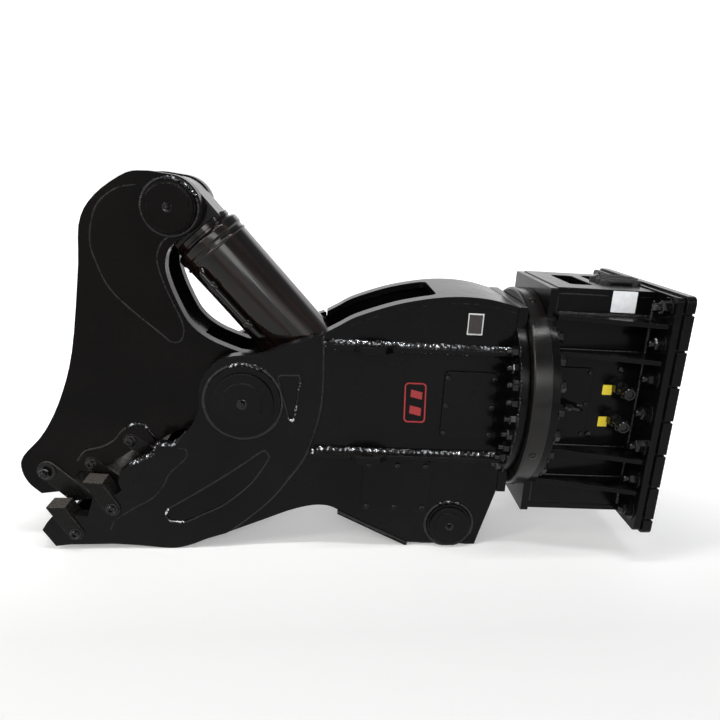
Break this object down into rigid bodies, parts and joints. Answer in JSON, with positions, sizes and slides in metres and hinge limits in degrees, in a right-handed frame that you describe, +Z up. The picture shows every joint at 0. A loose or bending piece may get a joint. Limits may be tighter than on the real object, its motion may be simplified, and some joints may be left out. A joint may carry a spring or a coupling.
{
  "type": "hydraulic demolition crusher",
  "caption": "Rotating hydraulic crusher for an excavator: slewing head with mounting flange, toothed fixed jaw and cylinder-driven moving jaw.",
  "frame": {"origin": "centre of the mounting face, on the slew axis", "axes": "+X along the slew axis out of the mounting face, away from the jaws; +Z up with the moving jaw above the fixed jaw; Y across the jaws"},
  "size_m": [1.9967, 0.66, 1.1793],
  "materials": {
    "black_paint": "thick glossy black enamel over plate and weld beads, a few scuffs",
    "ring_steel": "machined ring under glossy black paint",
    "pin_steel": "turned steel under black paint",
    "tooth_steel": "ground hardened steel, dark grey, worn on the edges",
    "chrome_rod": "hard chrome",
    "piston_bronze": "machined bronze, not seen from outside"
  },
  "bodies": {
    "head": {"head_bottom_deck": "black_paint", "head_cover": "black_paint", "head_flange": "black_paint", "head_front_plate": "black_paint", "head_side_far": "black_paint", "head_side_near": "black_paint", "head_top_deck": "black_paint", "mounting_plate": "black_paint", "port_lower": "pin_steel", "port_upper": "pin_steel", "slew_motor": "pin_steel", "slew_outer_race": "ring_steel", "swivel_housing": "pin_steel"},
    "frame": {"cheek_far": "black_paint", "cheek_near": "black_paint", "cover_front": "black_paint", "cover_rear_far": "black_paint", "cover_rear_near": "black_paint", "fixed_jaw_anvil": "black_paint", "fixed_tooth_1_far": "tooth_steel", "fixed_tooth_1_near": "tooth_steel", "fixed_tooth_2_far": "tooth_steel", "fixed_tooth_2_near": "tooth_steel", "foot_pin": "pin_steel", "foot_pin_cap": "pin_steel", "frame_belly_plate": "black_paint", "frame_end_plate": "black_paint", "frame_side_far": "black_paint", "frame_side_near": "black_paint", "frame_skid": "black_paint", "frame_throat_web": "black_paint", "frame_top_deck": "black_paint", "main_pin": "pin_steel", "main_pin_cap": "pin_steel", "rib_lower_far": "black_paint", "rib_lower_near": "black_paint", "rib_upper_far": "black_paint", "rib_upper_near": "black_paint", "slew_inner_race": "ring_steel", "swivel_rotor": "pin_steel"},
    "moving_jaw": {"jaw_core": "black_paint", "jaw_front_strip": "black_paint", "jaw_hub": "black_paint", "jaw_pin": "pin_steel", "jaw_pin_cap": "pin_steel", "jaw_rear_strip": "black_paint", "jaw_side_far": "black_paint", "jaw_side_near": "black_paint", "jaw_tooth_1": "tooth_steel", "jaw_tooth_2": "tooth_steel", "jaw_tooth_3": "tooth_steel", "jaw_wear_plate_far": "black_paint", "jaw_wear_plate_near": "black_paint"},
    "cylinder_barrel": {"barrel_eye": "black_paint", "barrel_gland": "pin_steel", "barrel_tube": "black_paint"},
    "cylinder_rod": {"piston": "piston_bronze", "rod": "chrome_rod", "rod_eye": "pin_steel"},
    "pinion": {"drive_pinion": "tooth_steel"}
  },
  "joints": [
    {"name": "slew", "type": "hinge", "parent": "head", "child": "frame", "pos_m": [-0.4, 0, 0], "axis": [1, 0, 0], "continuous": true},
    {"name": "jaw_open", "type": "hinge", "parent": "frame", "child": "moving_jaw", "pos_m": [-1.28, 0, -0.034], "axis": [0, 1, 0], "range_deg": [0, 55]},
    {"name": "barrel_swing", "type": "hinge", "parent": "moving_jaw", "child": "cylinder_barrel", "pos_m": [-1.506, 0, 0.53], "axis": [0, 1, 0], "range_deg": [-33, 0]},
    {"name": "rod_swing", "type": "hinge", "parent": "frame", "child": "cylinder_rod", "pos_m": [-0.608, 0, -0.43], "axis": [0, 1, 0], "range_deg": [0, 24]},
    {"name": "pinion_spin", "type": "hinge", "parent": "head", "child": "pinion", "pos_m": [-0.4, 0, 0.168], "axis": [1, 0, 0], "continuous": true}
  ],
  "couplings": [
    {"joint": "barrel_swing", "follows": "jaw_open", "ratio": -0.585},
    {"joint": "rod_swing", "follows": "jaw_open", "ratio": 0.415},
    {"joint": "pinion_spin", "follows": "slew", "ratio": 4.5}
  ]
}
